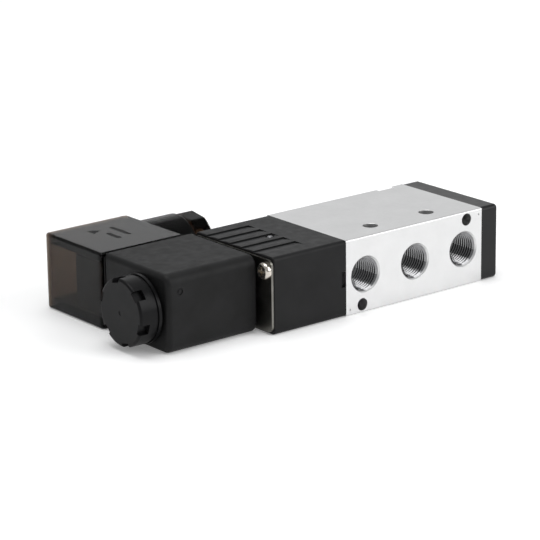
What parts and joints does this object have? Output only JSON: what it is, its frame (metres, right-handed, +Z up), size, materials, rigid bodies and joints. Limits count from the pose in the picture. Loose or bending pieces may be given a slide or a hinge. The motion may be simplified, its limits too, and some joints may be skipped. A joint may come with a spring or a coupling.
{
  "type": "solenoid directional valve",
  "caption": "Air valve with an aluminium spool body, threaded ports, black end cap and pilot block, a coil with a round nut, and a smoky plug connector with a cable gland.",
  "frame": {"origin": "on the bottom face, midway between the two vertical mounting holes", "axes": "+X along the spool from the coil to the end cap, +Y from the three-port face to the two-port face, +Z up through the mounting holes"},
  "size_m": [0.1226, 0.0648, 0.022],
  "materials": {
    "aluminium_body": "satin extruded, machined ports",
    "black_plastic": "fine moulded texture",
    "coil_plastic": "matte overmoulding",
    "nut_plastic": "satin moulded",
    "smoky_plastic": "see-through smoky brown polycarbonate",
    "nickel_steel": "nickel plated",
    "stainless": "turned",
    "spool_alloy": "turned and anodised",
    "seal_rubber": "moulded nitrile",
    "white_acetal": "turned acetal",
    "brass": "turned",
    "tinned_blades": "tinned",
    "copper_wire": "enamelled copper",
    "block_plastic": "moulded nylon",
    "board_laminate": "phenolic board",
    "lamp_red": "clear red epoxy",
    "resistor_body": "lacquered"
  },
  "bodies": {
    "valve": {"valve_body": "aluminium_body", "return_spring": "stainless", "end_cap": "black_plastic", "end_cap_gasket": "seal_rubber", "end_cap_screws": "nickel_steel", "pilot_block": "black_plastic", "pilot_block_gasket": "seal_rubber", "override_spring": "stainless", "flange_plate": "nickel_steel", "plate_screws": "nickel_steel", "armature_tube": "stainless", "tube_oring": "seal_rubber", "fixed_core": "stainless", "armature_spring": "stainless", "pilot_nozzle": "brass", "bobbin": "white_acetal", "coil_winding": "copper_wire", "coil_yoke": "stainless", "coil_terminals": "tinned_blades", "coil_body": "coil_plastic", "coil_nut_oring": "seal_rubber", "connector_gasket": "seal_rubber", "connector_housing": "smoky_plastic", "contact_clips": "brass", "terminal_block": "block_plastic", "terminal_screws": "nickel_steel", "indicator_board": "board_laminate", "indicator_led": "lamp_red", "board_resistor": "resistor_body", "connector_screw": "nickel_steel", "connector_screw_washer": "seal_rubber", "gland_grommet": "seal_rubber", "gland_washer": "stainless"},
    "spool": {"spool": "spool_alloy", "spool_seals": "seal_rubber"},
    "pilot_piston": {"pilot_piston": "white_acetal", "piston_seal": "seal_rubber"},
    "armature": {"armature": "stainless", "armature_seat": "seal_rubber"},
    "override_pin": {"override_pin": "nickel_steel", "override_oring": "seal_rubber"},
    "coil_nut": {"coil_nut": "nut_plastic", "coil_nut_insert": "brass"},
    "gland_nut": {"gland_nut": "smoky_plastic"}
  },
  "joints": [
    {"name": "spool_shift", "type": "slide", "parent": "valve", "child": "spool", "axis": [1, 0, 0], "range_m": [0, 0.003], "stiffness_N_per_m": 1500, "springref_m": -0.004, "deforming": ["return_spring"]},
    {"name": "piston_push", "type": "slide", "parent": "valve", "child": "pilot_piston", "axis": [1, 0, 0], "range_m": [0, 0.003]},
    {"name": "armature_lift", "type": "slide", "parent": "valve", "child": "armature", "axis": [-1, 0, 0], "range_m": [0, 0.0008], "stiffness_N_per_m": 900, "springref_m": -0.003, "deforming": ["armature_spring"]},
    {"name": "override_press", "type": "slide", "parent": "valve", "child": "override_pin", "axis": [0, 0, -1], "range_m": [0, 0.0012], "stiffness_N_per_m": 800, "springref_m": -0.002, "deforming": ["override_spring"]},
    {"name": "coil_nut_turn", "type": "hinge", "parent": "valve", "child": "coil_nut", "pos_m": [-0.087, 0.0088, 0.011], "axis": [-1, 0, 0], "range_deg": [0, 360]},
    {"name": "gland_nut_turn", "type": "hinge", "parent": "valve", "child": "gland_nut", "pos_m": [-0.038, 0.0473, 0.011], "axis": [1, 0, 0], "range_deg": [0, 360]}
  ],
  "couplings": [
    {"joint": "piston_push", "follows": "spool_shift", "ratio": 1}
  ]
}
